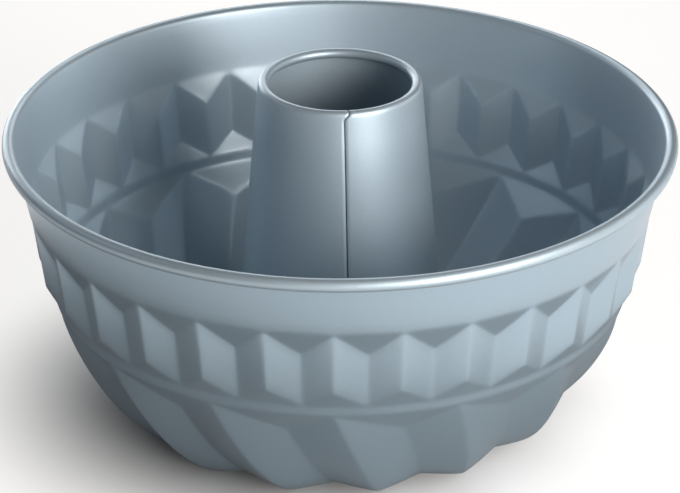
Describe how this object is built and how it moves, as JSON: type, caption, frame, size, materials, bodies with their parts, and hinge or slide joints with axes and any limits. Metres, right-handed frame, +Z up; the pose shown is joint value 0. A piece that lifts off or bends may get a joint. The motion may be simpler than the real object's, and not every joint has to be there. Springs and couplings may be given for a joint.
{
  "type": "fluted tube pan",
  "caption": "Round deep-drawn ring-cake pan with a rolled rim, an upper tier of V flutes over a lower tier of swirled lobes, and a tapered open centre tube.",
  "frame": {"origin": "on the axis of the pan, at the plane that the lobes stand on", "axes": "+Z up along the axis, out of the mouth; -Y to the front, through the top of a lobe"},
  "size_m": [0.23, 0.23, 0.1213],
  "materials": {
    "coated_steel": "satin metallic blue-grey non-stick coat on sheet steel"
  },
  "bodies": {
    "root": {"fluted_bowl": "coated_steel", "centre_tube": "coated_steel"}
  },
  "joints": []
}
